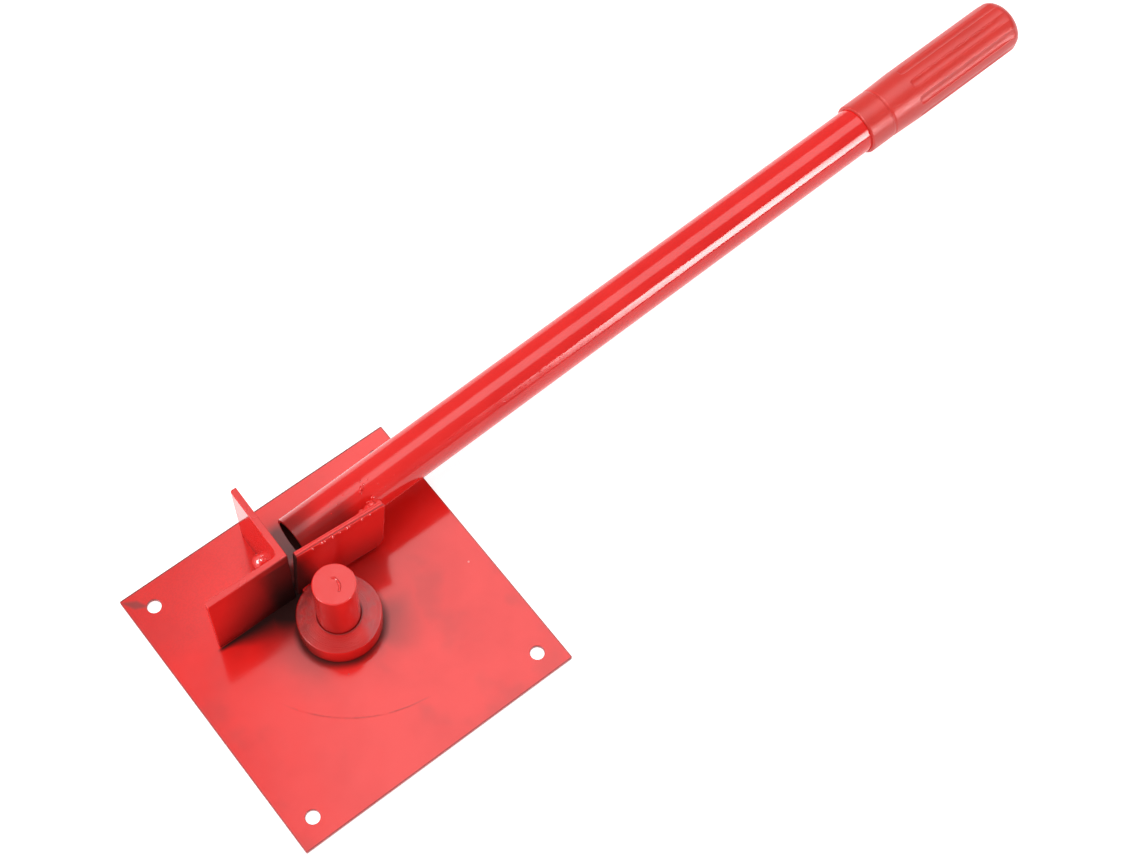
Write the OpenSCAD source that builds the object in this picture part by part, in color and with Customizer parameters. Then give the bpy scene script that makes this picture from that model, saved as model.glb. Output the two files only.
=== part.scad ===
// Manual rod bender: a welded base with a fixed stop and a pivot post,
// and a swinging arm (hub ring, bending bracket, tube handle and grip).
// The origin is the centre of the bolt pattern on the underside of the base,
// +X runs along the handle in its start position, +Z is up.

/* [Base plate] */
// Length of the base plate, along the handle
plate_l = 200; // [180:1:260]
// Width of the base plate, across the handle
plate_w = 200; // [192:1:260]
// Thickness of the base plate
plate_t = 3; // [2.5:0.5:8]
// Rounding of the base plate's corners
plate_corner_r = 1; // [0.5:0.5:8]
// Diameter of the bench bolt holes
bolt_hole_d = 9; // [5:0.5:12]
// Distance from the plate's edges to the centres of the bolt holes
bolt_inset = 15.5; // [9:0.5:20]

/* [Pivot post] */
// Distance of the post from the plate's centre, along the handle
post_x = 0.5; // [-4:0.5:10]
// Distance of the post from the plate's centre, across the handle
post_y = 5.8; // [-10:0.5:8]
// Diameter of the turned post
post_d = 27; // [18:0.5:32]
// Height of the post over the plate
post_h = 62.5; // [50:0.5:90]
// Chamfer of the post's top edge
post_chamfer = 0.6; // [0.2:0.1:1.5]
// Diameter of the parting-off nub on the post's top
nub_d = 3.6; // [2:0.2:6]
// Height of the parting-off nub
nub_h = 0.5; // [0.2:0.1:1]
// Size of the weld that holds the post's foot from below
post_weld = 2; // [1:0.5:2.5]

/* [Fixed stop] */
// Length of the stop's front leg, which holds the rod
stop_front_l = 56; // [40:1:62]
// Length of the stop's rear leg
stop_rear_l = 56; // [40:1:62]
// Thickness of the angle iron
stop_t = 4.4; // [3:0.5:6]
// Height of the stop over the plate
stop_h = 66; // [50:0.5:90]
// Clearance between the hub ring and the stop's front face
stop_gap = 3.4; // [2:0.1:8]
// Distance of the stop's corner from the post's axis, along the handle
stop_offset = 12; // [10:0.2:16]
// Turn of the stop away from the plate's edges, in degrees
stop_yaw = -1.2; // [-2:0.1:2]
// Size of the weld beads at the stop's foot
stop_weld = 5; // [3:0.5:7]
// Length of the weld bead along the rear leg
stop_weld_rear_l = 30; // [15:1:38]
// Length of the weld bead along the front leg
stop_weld_front_l = 36; // [15:1:38]

/* [Hub ring] */
// Outer diameter of the hub ring
hub_d = 53; // [44:0.5:60]
// Height of the hub ring
hub_h = 15.1; // [8:0.1:20]
// Running clearance under the hub ring
hub_lift = 0.3; // [0.2:0.1:1.5]
// Radial running clearance of the hub ring on the post
hub_fit = 0.09; // [0.03:0.01:0.1]
// Chamfer of the hub ring's edges
hub_chamfer = 0.7; // [0.3:0.1:1.5]

/* [Bending bracket] */
// Length of the bracket's top edge
bracket_l = 62.6; // [50:0.2:75]
// How far the bracket's top edge reaches past the post's axis on the stop's side
bracket_back = 10; // [8:0.1:10.4]
// Thickness of the bracket
bracket_t = 4.2; // [3:0.5:6]
// Height of the bracket's top edge over the plate
bracket_top = 62.5; // [55:0.5:90]
// Height of the bracket's lower edge over the plate
bracket_low = 8; // [6:0.5:10]
// Turn of the bracket in its start position, in degrees
bracket_yaw = -3.9; // [-6:0.1:-2]
// Gap between the hub ring and the bracket's face, closed by welds
bracket_gap = 0.1; // [0.05:0.05:0.5]
// Length of the cut corner under the bracket's free end
bracket_cut = 6; // [2:0.5:12]
// Rake of the bracket's free end over its height
bracket_rake = 3.7; // [0:0.1:4]
// Clearance between the bracket's lower corner and the stop
bracket_foot_gap = 0.5; // [0.3:0.1:4]
// Reach of the welds between the hub ring and the bracket
hub_weld = 13; // [9:0.5:16]

/* [Handle] */
// Outer diameter of the handle tube
tube_d = 32; // [26:0.5:38]
// Wall of the handle tube
tube_wall = 2.5; // [1.5:0.25:4]
// Length of the handle tube
tube_l = 603.3; // [400:1:900]
// Start of the tube past the post's axis, along the bracket
tube_start = -1.8; // [-2:0.2:8]
// Height of the tube's axis over the plate, at its start
tube_z = 37.8; // [34:0.2:42]
// Gap between the bracket and the tube at the tube's start
tube_gap = 0.2; // [0.1:0.1:2]
// Angle between the tube and the bracket, in degrees
tube_skew = 5.3; // [2:0.1:6]
// Rise of the tube towards the grip, in degrees
tube_rise = 1.5; // [0:0.1:4]
// Half height of the welds between the tube and the bracket
tube_weld = 9; // [6:0.5:10]
// Length of the weld at the bracket's free end
tube_weld_end_l = 8; // [5:0.5:12]
// Length of the weld at the tube's start
tube_weld_start_l = 14; // [8:0.5:18]

/* [Grip] */
// Length of the grip
grip_l = 140; // [110:1:180]
// Thickness of the grip's collar over the tube
grip_collar_t = 2.1; // [1.5:0.1:4]
// Thickness of the grip's barrel over the tube
grip_barrel_t = 2.9; // [2.5:0.1:6]
// Distance from the grip's mouth to its ring groove
grip_groove_at = 20.5; // [15:0.5:32]
// Width of the ring groove
grip_groove_w = 2.4; // [1.5:0.1:4]
// Depth of the ring groove
grip_groove_depth = 0.5; // [0.3:0.1:0.8]
// Distance from the grip's mouth to the start of its flutes
grip_flute_at = 44; // [38:1:70]
// Number of flutes round the grip
grip_flutes = 9; // [5:1:10]
// Turn of the first flute from the grip's top, in degrees
grip_flute_phase = 15.2; // [0:0.1:72]
// Radius of the tool that cuts the flutes
grip_flute_r = 6; // [3:0.5:8]
// Depth of the flutes
grip_flute_depth = 1.2; // [0.5:0.1:1.4]
// Thickness of the grip's closed end
grip_end_t = 6; // [4:0.5:10]
// Rounding of the grip's closed end
grip_end_r = 9; // [4:0.5:12]
// Clearance of the tube in the grip
grip_fit = 0.05; // [0.02:0.01:0.2]

/* [Hidden] */
$fn = 96;
paint = "#d81f1f";
grip_red = "#e2403c";
over = 1;
touch = 0.02;
fillet_hollow = 0.45;
hub_weld_root = 1;
grip_lip = 1.2;
grip_groove_side = 0.5;
post_r = post_d / 2;
hub_r = hub_d / 2;
tube_r = tube_d / 2;
hub_z0 = plate_t + hub_lift;
hub_z1 = hub_z0 + hub_h;
bracket_z0 = plate_t + bracket_low;
bracket_z1 = plate_t + bracket_top;
bracket_n0 = hub_r + bracket_gap;
bracket_n1 = bracket_n0 + bracket_t;
bracket_s0 = -bracket_back;
bracket_s1 = bracket_l - bracket_back;
bracket_foot_x = bracket_foot_gap - stop_offset;
bracket_foot = (bracket_foot_x + bracket_n1 * sin(bracket_yaw)) / cos(bracket_yaw);
tube_n = bracket_n1 + tube_gap + tube_r;
tube_z0 = plate_t + tube_z;
grip_r = tube_r + grip_barrel_t;
collar_r = tube_r + grip_collar_t;
grip_x0 = tube_l + grip_end_t - grip_l;

// Places its children in the arm's frame: x along the bracket, y away from the post
module in_arm() {
  translate([post_x, post_y, 0])
    rotate([0, 0, bracket_yaw])
      children();
}

// Places its children along the tube's axis, +X from the open end to the grip
module on_tube() {
  in_arm()
    translate([tube_start, tube_n, tube_z0])
      rotate([0, -tube_rise, tube_skew])
        children();
}

// A round bar along +X
module x_bar(r, l, x0 = 0) {
  translate([x0, 0, 0])
    rotate([0, 90, 0])
      cylinder(r = r, h = l);
}

// Places its children in the stop's frame: origin at the outer corner,
// front leg along -X, rear leg along +Y
module at_stop() {
  translate([post_x - stop_offset, post_y + hub_r + stop_gap, plate_t])
    rotate([0, 0, stop_yaw])
      children();
}

// The plate's outline with rounded corners
module plate_outline() {
  dx = plate_l / 2 - plate_corner_r;
  dy = plate_w / 2 - plate_corner_r;
  square([2 * dx, plate_w], center = true);
  square([plate_l, 2 * dy], center = true);
  for (i = [-1, 1], j = [-1, 1])
    translate([i * dx, j * dy])
      circle(r = plate_corner_r, $fn = 32);
}

// Square steel plate with four bench bolt holes and the hole of the post
module base_plate() {
  bx = plate_l / 2 - bolt_inset;
  by = plate_w / 2 - bolt_inset;
  color(paint)
    difference() {
      linear_extrude(plate_t)
        plate_outline();
      for (i = [-1, 1], j = [-1, 1])
        translate([i * bx, j * by, -over])
          cylinder(d = bolt_hole_d, h = plate_t + 2 * over);
      translate([post_x, post_y, -over])
        cylinder(r = post_r + touch, h = plate_t + 2 * over);
      translate([post_x, post_y, 0])
        cylinder(r1 = post_r + post_weld, r2 = post_r, h = post_weld);
    }
}

// Ring of weld, ground flush with the plate's underside
module post_weld_ring() {
  color(paint)
    translate([post_x, post_y, 0])
      rotate_extrude()
        polygon([
          [post_r + touch, touch],
          [post_r + post_weld - 2 * touch, touch],
          [post_r + touch, post_weld - 2 * touch]
        ]);
}

// Turned post with the nub that parting-off leaves on its top
module pivot_post() {
  top = plate_t + post_h;
  color(paint)
    translate([post_x, post_y, 0])
      rotate_extrude()
        polygon([
          [0, 0],
          [post_r, 0],
          [post_r, top - post_chamfer],
          [post_r - post_chamfer, top],
          [nub_d / 2, top],
          [nub_d / 4, top + nub_h],
          [0, top + nub_h]
        ]);
}

// Length of angle iron, welded upright on the plate
module stop_angle() {
  color(paint)
    at_stop()
      linear_extrude(stop_h)
        polygon([
          [0, 0],
          [0, stop_rear_l],
          [-stop_t, stop_rear_l],
          [-stop_t, stop_t],
          [-stop_front_l, stop_t],
          [-stop_front_l, 0]
        ]);
}

// Section of a fillet weld in the corner of two faces, bulging slightly
module fillet(size) {
  difference() {
    intersection() {
      square(size);
      circle(r = size);
    }
    translate([size, size])
      circle(r = size * fillet_hollow);
  }
}

// Weld bead along the inner foot of the stop's rear leg
module stop_weld_rear_bead() {
  color(paint)
    at_stop()
      translate([-stop_t, stop_t + stop_weld_rear_l, 0])
        rotate([90, 0, 0])
          mirror([1, 0, 0])
            linear_extrude(stop_weld_rear_l)
              fillet(stop_weld);
}

// Weld bead along the inner foot of the stop's front leg
module stop_weld_front_bead() {
  color(paint)
    at_stop()
      translate([-stop_t - stop_weld - stop_weld_front_l, stop_t, 0])
        rotate([90, 0, 90])
          linear_extrude(stop_weld_front_l)
            fillet(stop_weld);
}

// Swinging hub, a turned ring that runs on the post
module hub_ring() {
  bore = post_r + hub_fit;
  color(paint)
    translate([post_x, post_y, 0])
      rotate_extrude()
        polygon([
          [bore, hub_z0],
          [hub_r - hub_chamfer, hub_z0],
          [hub_r, hub_z0 + hub_chamfer],
          [hub_r, hub_z1 - hub_chamfer],
          [hub_r - hub_chamfer, hub_z1],
          [bore + hub_chamfer, hub_z1],
          [bore, hub_z1 - hub_chamfer]
        ]);
}

// Weld in the wedge between the hub ring and the bracket's face
module hub_weld_bead(side) {
  z0 = max(hub_z0 + hub_chamfer, bracket_z0);
  z1 = hub_z1 - hub_chamfer;
  color(paint)
    in_arm()
      mirror([side < 0 ? 1 : 0, 0, 0])
        translate([0, 0, z0])
          linear_extrude(z1 - z0)
            difference() {
              polygon([
                [hub_weld_root, bracket_n0],
                [hub_weld_root, hub_r / 2],
                [hub_weld / 2, hub_r / 2],
                [hub_weld, bracket_n0]
              ]);
              circle(r = hub_r);
            }
}

// Weld on the stop's side of the hub ring
module hub_weld_left() {
  hub_weld_bead(-1);
}

// Weld on the handle's side of the hub ring
module hub_weld_right() {
  hub_weld_bead(1);
}

// Upright plate that pushes the rod round the post
module bending_bracket() {
  low = bracket_s1 - bracket_rake;
  color(paint)
    in_arm()
      translate([0, bracket_n1, 0])
        rotate([90, 0, 0])
          linear_extrude(bracket_t)
            polygon([
              [bracket_foot, bracket_z0],
              [low - bracket_cut, bracket_z0],
              [low, bracket_z0 + bracket_cut],
              [bracket_s1, bracket_z1],
              [bracket_s0, bracket_z1]
            ]);
}

// Weld between the bracket's back and the tube, from s0 over length l
module tube_weld_block(s0, l) {
  reach = tube_r + (s0 + l) * tan(tube_skew);
  zc = tube_z0 + (s0 + l / 2 - tube_start) * tan(tube_rise);
  color(paint)
    difference() {
      in_arm()
        translate([s0, bracket_n1, zc - tube_weld])
          cube([l, reach, 2 * tube_weld]);
      on_tube()
        x_bar(tube_r, 2 * (s0 + l) + tube_d, -tube_d);
      on_tube()
        translate([-tube_d, 0, -tube_d])
          cube([2 * (s0 + l) + 2 * tube_d, 2 * tube_d, 2 * tube_d]);
    }
}

// Weld near the tube's open end
module tube_weld_start() {
  tube_weld_block(tube_start + over, tube_weld_start_l);
}

// Weld at the bracket's free end
module tube_weld_end() {
  tube_weld_block(bracket_s1 - bracket_rake - tube_weld_end_l, tube_weld_end_l);
}

// Round steel tube, open at the stop's side
module handle_tube() {
  color(paint)
    on_tube()
      difference() {
        x_bar(tube_r, tube_l);
        x_bar(tube_r - tube_wall, tube_l + 2 * over, -over);
      }
}

// The grip's outer profile along the tube, as points of length and radius
module grip_profile() {
  g0 = grip_groove_at - grip_groove_w / 2;
  g1 = grip_groove_at + grip_groove_w / 2;
  groove_r = collar_r - grip_groove_depth;
  polygon([
    [0, 0],
    [0, collar_r - grip_lip],
    [grip_lip / 3, collar_r - grip_lip / 3],
    [grip_lip, collar_r],
    [g0, collar_r],
    [g0 + grip_groove_side, groove_r],
    [g1 - grip_groove_side, groove_r],
    [g1, collar_r],
    [grip_flute_at, grip_r],
    for (a = [0 : 10 : 90])
      [
        grip_l - grip_end_r * (1 - sin(a)),
        grip_r - grip_end_r * (1 - cos(a))
      ],
    [grip_l, 0]
  ]);
}

// Fluted plastic grip, closed at its end and open towards the arm
module handle_grip() {
  bore_l = grip_l - grip_end_t + grip_fit;
  cut_r = grip_r - grip_flute_depth + grip_flute_r;
  color(grip_red)
    on_tube()
      translate([grip_x0, 0, 0])
        difference() {
          rotate([90, 0, 90])
            rotate_extrude()
              rotate([0, 0, 90])
                mirror([0, 1, 0])
                  grip_profile();
          x_bar(tube_r + grip_fit, bore_l + over, -over);
          for (i = [0 : grip_flutes - 1])
            rotate([grip_flute_phase + i * 360 / grip_flutes, 0, 0])
              translate([grip_flute_at + grip_flute_r, 0, cut_r]) {
                x_bar(grip_flute_r, grip_l);
                sphere(r = grip_flute_r);
              }
        }
}

base_plate();
post_weld_ring();
pivot_post();
stop_angle();
stop_weld_rear_bead();
stop_weld_front_bead();
hub_ring();
hub_weld_left();
hub_weld_right();
bending_bracket();
tube_weld_start();
tube_weld_end();
handle_tube();
handle_grip();
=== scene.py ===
"""Looks of a manual rod bender: red gloss paint on plate, bar, angle iron and tube, welds and a grip."""

import math
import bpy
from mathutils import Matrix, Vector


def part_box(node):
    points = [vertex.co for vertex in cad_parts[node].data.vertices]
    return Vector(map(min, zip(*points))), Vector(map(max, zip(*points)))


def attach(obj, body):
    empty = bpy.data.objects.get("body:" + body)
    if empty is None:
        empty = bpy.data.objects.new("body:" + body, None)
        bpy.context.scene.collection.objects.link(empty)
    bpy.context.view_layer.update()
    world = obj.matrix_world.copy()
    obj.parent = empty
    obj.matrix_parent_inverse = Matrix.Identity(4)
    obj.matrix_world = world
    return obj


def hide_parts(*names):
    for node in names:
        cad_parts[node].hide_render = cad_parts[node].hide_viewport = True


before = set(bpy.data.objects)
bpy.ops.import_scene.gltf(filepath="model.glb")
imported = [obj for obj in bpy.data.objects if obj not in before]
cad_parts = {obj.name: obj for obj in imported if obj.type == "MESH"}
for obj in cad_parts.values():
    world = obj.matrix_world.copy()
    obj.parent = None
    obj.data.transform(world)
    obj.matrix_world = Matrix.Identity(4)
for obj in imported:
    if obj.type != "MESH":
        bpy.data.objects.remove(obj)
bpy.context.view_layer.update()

import bpy
from bpy.props import FloatProperty, FloatVectorProperty, IntProperty, PointerProperty
from mathutils import Matrix, Vector, noise

bl_info = {
    "name": "Rod Bender Looks",
    "version": (1, 0, 0),
    "blender": (4, 5, 0),
    "location": "View3D > Sidebar > Rod Bender",
    "description": "Builds the painted steel pieces, welds and grip of a manual rod bender",
    "category": "Object",
}

METRES = Matrix.Scale(0.001, 4)
PLATE_LOW, PLATE_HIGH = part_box("base_plate")
POST_LOW, POST_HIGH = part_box("pivot_post")
RING_LOW, RING_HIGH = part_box("hub_ring")


def millimetres(corner):
    return [1000 * part for part in corner]


def spin(degrees, axis):
    return Matrix.Rotation(math.radians(degrees), 4, axis)


def shift(x, y, z):
    return Matrix.Translation((x, y, z))


# Sizes of the pieces, in millimetres, and their turns, in degrees.
POST_X = 500 * (POST_LOW.x + POST_HIGH.x)
POST_Y = 500 * (POST_LOW.y + POST_HIGH.y)
POST_RADIUS = 500 * (POST_HIGH.x - POST_LOW.x)
PLATE_TOP = 1000 * PLATE_HIGH.z
BOLT_INSET, BOLT_RADIUS, POST_HOLE_RADIUS = 15.5, 4.5, 13.52
HUB_FIT = 0.09
STOP_LEG, STOP_WALL, STOP_HEIGHT, STOP_YAW = 56, 4.4, 66, -1.2
STOP_CORNER = (POST_X - 12, POST_Y + 29.9, PLATE_TOP)
ARM_YAW = -3.9
BRACKET_WALL, BRACKET_BACK = 4.2, 30.8
BRACKET_LOW, BRACKET_TOP = PLATE_TOP + 8, PLATE_TOP + 62.5
TUBE_RADIUS, TUBE_BORE, TUBE_LENGTH = 16, 13.5, 603.3
TUBE_START, TUBE_SIDE, TUBE_HEIGHT = -1.8, 47, PLATE_TOP + 37.8
TUBE_SKEW, TUBE_RISE = 5.3, 1.5
SCRATCH_X, SCRATCH_Y, SCRATCH_RADIUS = 25.7, 27.1, 94.4

# Places of the pieces: each carries its own coordinates into the frame.
ON_POST = shift(POST_X, POST_Y, 0)
ON_ARM = ON_POST @ spin(ARM_YAW, "Z")
ON_TUBE = ON_ARM @ shift(TUBE_START, TUBE_SIDE, TUBE_HEIGHT) @ spin(TUBE_SKEW, "Z") @ spin(-TUBE_RISE, "Y")
ON_STOP = shift(*STOP_CORNER) @ spin(STOP_YAW, "Z")


# ---------------------------------------------------------------- shader maths


class Value:
    """A shader socket that can stand in a sum, and then adds Math nodes."""

    def __init__(self, finish, socket):
        self.finish = finish
        self.socket = socket

    def math(self, operation, *terms):
        return self.finish.node("ShaderNodeMath", {"operation": operation}, dict(enumerate(terms)))

    def output(self, name):
        return Value(self.finish, self.socket.node.outputs[name])

    def __add__(self, other):
        return self.math("ADD", self, other)

    __radd__ = __add__

    def __sub__(self, other):
        return self.math("SUBTRACT", self, other)

    def __rsub__(self, other):
        return self.math("SUBTRACT", other, self)

    def __mul__(self, other):
        return self.math("MULTIPLY", self, other)

    __rmul__ = __mul__

    def __truediv__(self, other):
        return self.math("DIVIDE", self, other)

    def root(self):
        return self.math("SQRT", self)

    def size(self):
        return self.math("ABSOLUTE", self)

    def sine(self):
        return self.math("SINE", self)

    def least(self, other):
        return self.math("MINIMUM", self, other)

    def most(self, other):
        return self.math("MAXIMUM", self, other)


def span(x, y):
    """Length of a vector that has the parts x and y."""
    return (x * x + y * y).root()


class Finish:
    """A node tree under construction, of a material or of the world."""

    def __init__(self, owner):
        owner.use_nodes = True
        self.owner = owner
        self.tree = owner.node_tree
        self.tree.nodes.clear()

    def node(self, kind, settings=None, sockets=None, out=0):
        """Adds a node: its settings first, then the values or links of its sockets."""
        made = self.tree.nodes.new(kind)
        for name, setting in (settings or {}).items():
            if name == "stops":
                while len(made.color_ramp.elements) < len(setting):
                    made.color_ramp.elements.new(0.5)
                for element, (place, colour) in zip(made.color_ramp.elements, setting):
                    element.position = place
                    element.color = colour
            else:
                setattr(made, name, setting)
        for name, given in (sockets or {}).items():
            if isinstance(given, Value):
                self.tree.links.new(given.socket, made.inputs[name])
            else:
                made.inputs[name].default_value = given
        return Value(self, made.outputs[out]) if made.outputs else None

    def place(self):
        """The point on the object, as a vector in metres and as x, y and z in millimetres."""
        at = self.node("ShaderNodeTexCoord", out="Object")
        parts = self.node("ShaderNodeSeparateXYZ", {}, {0: at})
        return at, parts * 1000, parts.output("Y") * 1000, parts.output("Z") * 1000

    def turned(self, at, degrees, origin):
        """Coordinates about origin, in millimetres, turned about the vertical."""
        moved = self.node("ShaderNodeMapping", {"vector_type": "TEXTURE"}, {
            "Vector": at,
            "Location": [0.001 * part for part in origin],
            "Rotation": (0, 0, math.radians(degrees)),
        })
        parts = self.node("ShaderNodeSeparateXYZ", {}, {0: moved})
        return parts * 1000, parts.output("Y") * 1000, parts.output("Z") * 1000

    def noise(self, at, scale, detail=2.0, rough=0.5, stretch=None):
        if stretch is not None:
            at = self.node("ShaderNodeVectorMath", {"operation": "MULTIPLY"}, {0: at, 1: stretch})
        return self.node("ShaderNodeTexNoise", {}, {
            "Vector": at, "Scale": scale, "Detail": detail, "Roughness": rough,
        })

    def smooth(self, value, low, high):
        """0 below low and 1 above high, with a smooth step between them; low may be the larger."""
        back = low > high
        return self.node("ShaderNodeMapRange", {"interpolation_type": "SMOOTHSTEP", "clamp": True}, {
            "Value": value,
            "From Min": min(low, high),
            "From Max": max(low, high),
            "To Min": 1.0 if back else 0.0,
            "To Max": 0.0 if back else 1.0,
        })

    def top(self, z, high):
        """1 on the face at height high, and 0 below its edge."""
        return self.smooth(z, high - 0.4, high - 0.1)

    def mix(self, factor, low, high):
        """A colour between two, by factor."""
        return self.node("ShaderNodeMix", {"data_type": "RGBA"}, {0: factor, 6: low, 7: high}, out=2)

    def specks(self, at, scale, radius, share, seed=0.0):
        """Round specks of a radius in millimetres, in a share of the cells of a Voronoi pattern."""
        moved = self.node("ShaderNodeVectorMath", {"operation": "ADD"}, {0: at, 1: (seed, seed, 0)})
        cells = self.node("ShaderNodeTexVoronoi", {"feature": "F1"}, {"Vector": moved, "Scale": scale})
        pick = self.node("ShaderNodeSeparateColor", {}, {0: cells.output("Color")})
        spot = self.smooth(cells * (1000 / scale), radius, radius * 0.5)
        return spot * self.smooth(pick, share, share * 0.8)

    def bump(self, height, depth, normal=None):
        """A normal bent by height, which spans depth in metres."""
        sockets = {"Height": height, "Distance": depth, "Strength": 1.0}
        if normal is not None:
            sockets["Normal"] = normal
        return self.node("ShaderNodeBump", {}, sockets)

    def surface(self, dull=None, dull_tone=None, **sockets):
        """The material: glossy, and where dull is 1 a flat layer of dull_tone over it."""
        shader = self.node("ShaderNodeBsdfPrincipled", {}, {
            name.replace("_", " "): given for name, given in sockets.items()
        })
        if dull is not None:
            flat = self.node("ShaderNodeBsdfPrincipled", {}, {
                "Base Color": dull_tone, "Roughness": 0.9, "Specular IOR Level": 0.03,
            })
            shader = self.node("ShaderNodeMixShader", {}, {0: dull, 1: shader, 2: flat})
        self.node("ShaderNodeOutputMaterial", {}, {"Surface": shader})
        return self.owner


def rgb(colour, share=1.0):
    return (colour[0] * share, colour[1] * share, colour[2] * share, 1.0)


def red_paint(name, stain_and_shade=None, relief=None, rough=None, tone=1.0, gloss=1.0, dust=0.3, shade_sheen=None):
    """Sprayed gloss enamel: slight tone changes, orange peel, dust nibs, and what each piece adds.

    The function for stains and shade gives two amounts: a dark tone under the gloss and a dull dark layer
    over it, which stand partly for soot and partly for painted shade in corners, gaps and under parts. The
    function for the greyish tone gives painted shade with a painted grey sheen.
    """
    paint = bpy.context.scene.bender_paint
    finish = Finish(bpy.data.materials.new(name))
    at, x, y, z = finish.place()
    colour = finish.mix(
        finish.smooth(finish.noise(at, 22, 3), 0.35, 0.68),
        rgb(paint.red, tone),
        rgb(paint.red_deep, tone),
    )
    nibs = finish.specks(at, 95, 0.45, 0.16)
    pits = finish.specks(at, 60, 0.5, 0.10, 3.7)
    colour = finish.mix(pits * 0.55, colour, rgb(paint.soot_and_shade, 2.0))
    peel = finish.noise(at, 520, 2)
    waves = finish.noise(at, 42, 2)
    shine = paint.roughness / gloss + finish.noise(at, 60, 3) * 0.05 + pits * 0.2
    normal = finish.bump(waves, 0.00009)
    normal = finish.bump(peel * 0.35 + nibs * 1.6 - pits, 0.00002, normal)
    if relief is not None:
        height, depth = relief(finish, at, x, y, z)
        normal = finish.bump(height, depth, normal)
    # Greyish darker tone, where a piece gives one: painted shade with a painted grey sheen.
    if shade_sheen is not None:
        colour = finish.mix(shade_sheen(finish, at, x, y, z), colour, rgb(paint.shade_sheen))
    over = None
    # Soot and painted shade: under darkens the colour under the gloss, over lays a dull dark layer over it.
    if stain_and_shade is not None:
        under, over = stain_and_shade(finish, at, x, y, z)
        colour = finish.mix(under, colour, rgb(paint.soot_and_shade))
        shine = shine + under * 0.2
    if rough is not None:
        shine = shine + rough(finish, at, x, y, z)
    pale = finish.specks(at, 75, 0.85, 0.2, 9.1) * finish.smooth(finish.noise(at, 18, 2), 0.45, 0.6)
    colour = finish.mix(pale * dust, colour, rgb(paint.dust))
    return finish.surface(
        over, rgb(paint.soot_and_shade), Base_Color=colour, Roughness=shine, Normal=normal, IOR=paint.ior,
    )


# ---------------------------------------------------------------- mesh makers


def rounded(corners, steps=5):
    """A closed outline through corners (x, y, r), each rounded by its radius r."""
    line = []
    count = len(corners)
    for index, (x, y, r) in enumerate(corners):
        here = Vector((x, y))
        before = Vector(corners[index - 1][:2]) - here
        after = Vector(corners[(index + 1) % count][:2]) - here
        if r <= 0 or before.length < 1e-6 or after.length < 1e-6:
            line.append((x, y))
            continue
        before.normalize()
        after.normalize()
        half = before.angle(after) / 2
        reach = r / math.tan(half)
        middle = here + (before + after).normalized() * (r / math.sin(half))
        start = here + before * reach - middle
        turn = start.angle_signed(here + after * reach - middle)
        for step in range(steps + 1):
            angle = -turn * step / steps
            line.append((
                middle.x + start.x * math.cos(angle) - start.y * math.sin(angle),
                middle.y + start.x * math.sin(angle) + start.y * math.cos(angle),
            ))
    return line


def angles(count):
    return [2 * math.pi * i / count for i in range(count)]


def circle(x, y, r, steps=64):
    return [(x + r * math.cos(angle), y + r * math.sin(angle)) for angle in angles(steps)]


def band(low, high, count):
    """Quads between two rings of count points, whose first points are low and high."""
    return [(low + i, low + (i + 1) % count, high + (i + 1) % count, high + i) for i in range(count)]


def add_piece(name, mesh, place, material, body, nodes=(), crease=40):
    """Puts a mesh made in millimetres in its place and makes it ride on its body."""
    mesh.transform(METRES @ place)
    mesh.validate()
    mesh.polygons.foreach_set("use_smooth", [True] * len(mesh.polygons))
    mesh.set_sharp_from_angle(angle=math.radians(crease))
    piece = bpy.data.objects.new(name, mesh)
    bpy.context.scene.collection.objects.link(piece)
    evener = piece.modifiers.new("Even normals", "WEIGHTED_NORMAL")
    evener.keep_sharp = True
    mesh.materials.append(material)
    if nodes:
        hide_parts(*nodes)
    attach(piece, body)


def add_weld(name, mesh, place, material, body, *nodes):
    add_piece(name, mesh, place, material, body, nodes, 60)


def mesh_of(name, points, faces):
    mesh = bpy.data.meshes.new(name)
    mesh.from_pydata(points, [], faces)
    return mesh


def cut_shape(name, outlines, thickness, edge):
    """Sheet cut to an outside outline and holes, with rounded edges; it spans 0 to thickness."""
    curve = bpy.data.curves.new(name, "CURVE")
    curve.dimensions = "2D"
    curve.fill_mode = "BOTH"
    curve.extrude = thickness / 2 - edge
    curve.bevel_depth = edge
    curve.bevel_resolution = 3
    curve.offset = -edge
    for outline in outlines:
        line = curve.splines.new("POLY")
        line.points.add(len(outline) - 1)
        for point, (x, y) in zip(line.points, outline):
            point.co = (x, y, 0, 1)
        line.use_cyclic_u = True
    maker = bpy.data.objects.new(name + "_outline", curve)
    bpy.context.scene.collection.objects.link(maker)
    graph = bpy.context.evaluated_depsgraph_get()
    mesh = bpy.data.meshes.new_from_object(maker.evaluated_get(graph))
    bpy.data.objects.remove(maker)
    mesh.materials.clear()
    mesh.transform(shift(0, 0, thickness / 2))
    mesh.name = name
    return mesh


def turned_bar(name, profile, segments=128):
    """Solid of revolution about Z, from a closed profile of (radius, height) points."""
    points, rings, faces = [], [], []
    for r, z in profile:
        if r < 1e-6:
            rings.append([len(points)] * segments)
            points.append((0, 0, z))
        else:
            rings.append(list(range(len(points), len(points) + segments)))
            points += [(r * math.cos(angle), r * math.sin(angle), z) for angle in angles(segments)]
    for lower, upper in zip(rings, rings[1:] + rings[:1]):
        for i in range(segments):
            j = (i + 1) % segments
            face = []
            for corner in (lower[i], lower[j], upper[j], upper[i]):
                if corner not in face:
                    face.append(corner)
            if len(face) > 2:
                faces.append(face)
    return mesh_of(name, points, faces)


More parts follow.
